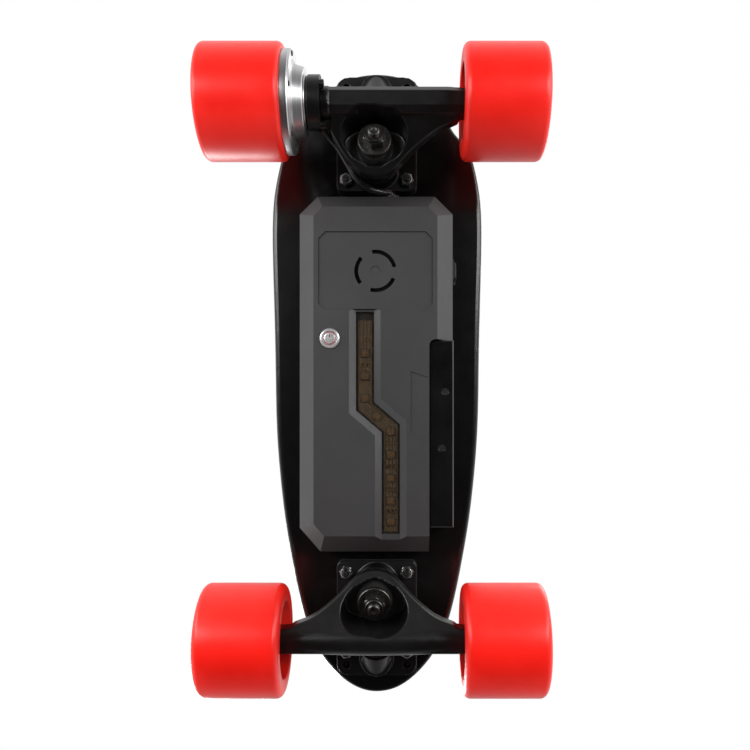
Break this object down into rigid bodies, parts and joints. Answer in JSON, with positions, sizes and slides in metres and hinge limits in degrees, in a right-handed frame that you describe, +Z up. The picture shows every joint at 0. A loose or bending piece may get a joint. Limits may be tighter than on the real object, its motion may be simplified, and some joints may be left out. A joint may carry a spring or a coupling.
{
  "type": "electric skateboard",
  "caption": "Short electric skateboard with a grip-taped deck, red wheels, one hub-motor wheel, sprung steering trucks and an underslung electronics case with a light strip.",
  "frame": {"origin": "ground, under the middle of the bounding box", "axes": "+Z up through the deck, +Y from nose to tail (the hub-motor end), +X to the rider's left when facing the nose"},
  "size_m": [0.212, 0.43, 0.101],
  "materials": {
    "deck_lacquer": "gloss black lacquer over laminated maple",
    "grip": "coarse black grit with fine sparkle",
    "riser_rubber": "matte black rubber",
    "truck_black": "satin black powder coat on cast aluminium",
    "dark_steel": "black oxide steel, worn on the edges",
    "bushing_urethane": "satin black urethane",
    "case_plastic": "dark grey moulded plastic, fine texture",
    "gasket_foam": "closed-cell foam",
    "side_cover_gloss": "gloss black moulded plastic",
    "smoked_window": "smoked clear plastic",
    "led_board": "bronze brown flexible circuit",
    "led_package": "amber-tinted light packages",
    "button_chrome": "polished chrome",
    "cell_wrap": "blue shrink-wrapped cells",
    "inner_plastic": "black moulded plastic",
    "circuit_green": "green solder mask",
    "cap_rubber": "soft black rubber",
    "cable_jacket": "smooth black jacket",
    "bearing_steel": "ground bearing steel",
    "wheel_red": "smooth red urethane",
    "core_red": "red moulded core",
    "motor_silver": "satin turned aluminium",
    "magnet": "nickel-plated magnets",
    "copper": "enamelled copper windings",
    "lamination": "laminated steel"
  },
  "bodies": {
    "board": {"deck": "deck_lacquer", "grip_tape": "grip", "riser_pads": "riser_rubber", "front_baseplate": "truck_black", "rear_baseplate": "truck_black", "kingpins": "dark_steel", "kingpin_nuts": "dark_steel", "bushing_washers": "dark_steel", "front_bushings": "bushing_urethane", "rear_bushings": "bushing_urethane", "pivot_cups": "bushing_urethane", "truck_bolts": "dark_steel", "truck_nuts": "dark_steel", "case_shell": "case_plastic", "case_gasket": "gasket_foam", "case_screws": "dark_steel", "side_cover": "side_cover_gloss", "light_window": "smoked_window", "led_strip": "led_board", "leds": "led_package", "button_housing": "button_chrome", "charge_port": "inner_plastic", "battery_cells": "cell_wrap", "battery_holder": "inner_plastic", "controller_board": "circuit_green", "cable_gland": "cap_rubber", "motor_cable": "cable_jacket"},
    "power_button": {"power_button": "button_chrome"},
    "charge_cap": {"charge_cap": "cap_rubber"},
    "front_truck": {"front_hanger": "truck_black", "front_axle": "dark_steel", "front_axle_nuts": "dark_steel", "front_axle_spacers": "bearing_steel", "front_bearing_inner_rings": "bearing_steel"},
    "rear_truck": {"rear_hanger": "truck_black", "rear_axle": "dark_steel", "rear_axle_nut": "dark_steel", "rear_axle_spacers": "bearing_steel", "rear_bearing_inner_rings": "bearing_steel", "motor_mount": "truck_black", "motor_mount_screws": "dark_steel", "motor_shaft": "bearing_steel", "stator_core": "lamination", "stator_windings": "copper"},
    "front_left_wheel": {"front_left_tyre": "wheel_red", "front_left_core": "core_red", "front_left_bearings": "bearing_steel"},
    "front_right_wheel": {"front_right_tyre": "wheel_red", "front_right_core": "core_red", "front_right_bearings": "bearing_steel"},
    "rear_right_wheel": {"rear_right_tyre": "wheel_red", "rear_right_core": "core_red", "rear_right_bearings": "bearing_steel"},
    "motor_wheel": {"motor_tyre": "wheel_red", "motor_can": "motor_silver", "motor_magnets": "magnet", "motor_inner_cover": "motor_silver", "motor_outer_cover": "motor_silver", "motor_cover_screws": "dark_steel", "motor_bearings": "bearing_steel"}
  },
  "joints": [
    {"name": "front_steer", "type": "hinge", "parent": "board", "child": "front_truck", "pos_m": [0, -0.186, 0.077], "axis": [0, -0.9164, 0.4002], "range_deg": [-15, 15], "stiffness_Nm_per_rad": 25, "deforming": ["front_bushings"]},
    {"name": "rear_steer", "type": "hinge", "parent": "board", "child": "rear_truck", "pos_m": [0, 0.194, 0.077], "axis": [0, 0.9164, 0.4002], "range_deg": [-15, 15], "stiffness_Nm_per_rad": 25, "deforming": ["rear_bushings", "motor_cable"]},
    {"name": "front_left_spin", "type": "hinge", "parent": "front_truck", "child": "front_left_wheel", "pos_m": [0.0805, -0.1635, 0.035], "axis": [1, 0, 0], "continuous": true},
    {"name": "front_right_spin", "type": "hinge", "parent": "front_truck", "child": "front_right_wheel", "pos_m": [-0.0805, -0.1635, 0.035], "axis": [1, 0, 0], "continuous": true},
    {"name": "rear_right_spin", "type": "hinge", "parent": "rear_truck", "child": "rear_right_wheel", "pos_m": [-0.0805, 0.1715, 0.035], "axis": [1, 0, 0], "continuous": true},
    {"name": "motor_spin", "type": "hinge", "parent": "rear_truck", "child": "motor_wheel", "pos_m": [0.0805, 0.1715, 0.035], "axis": [1, 0, 0], "continuous": true},
    {"name": "power_button_press", "type": "slide", "parent": "board", "child": "power_button", "axis": [0, 0, 1], "range_m": [0, 0.0015], "stiffness_N_per_m": 400, "springref_m": -0.0015},
    {"name": "charge_cap_open", "type": "hinge", "parent": "board", "child": "charge_cap", "pos_m": [-0.0529, 0.075, 0.087], "axis": [0, 1, 0], "range_deg": [0, 80]}
  ]
}
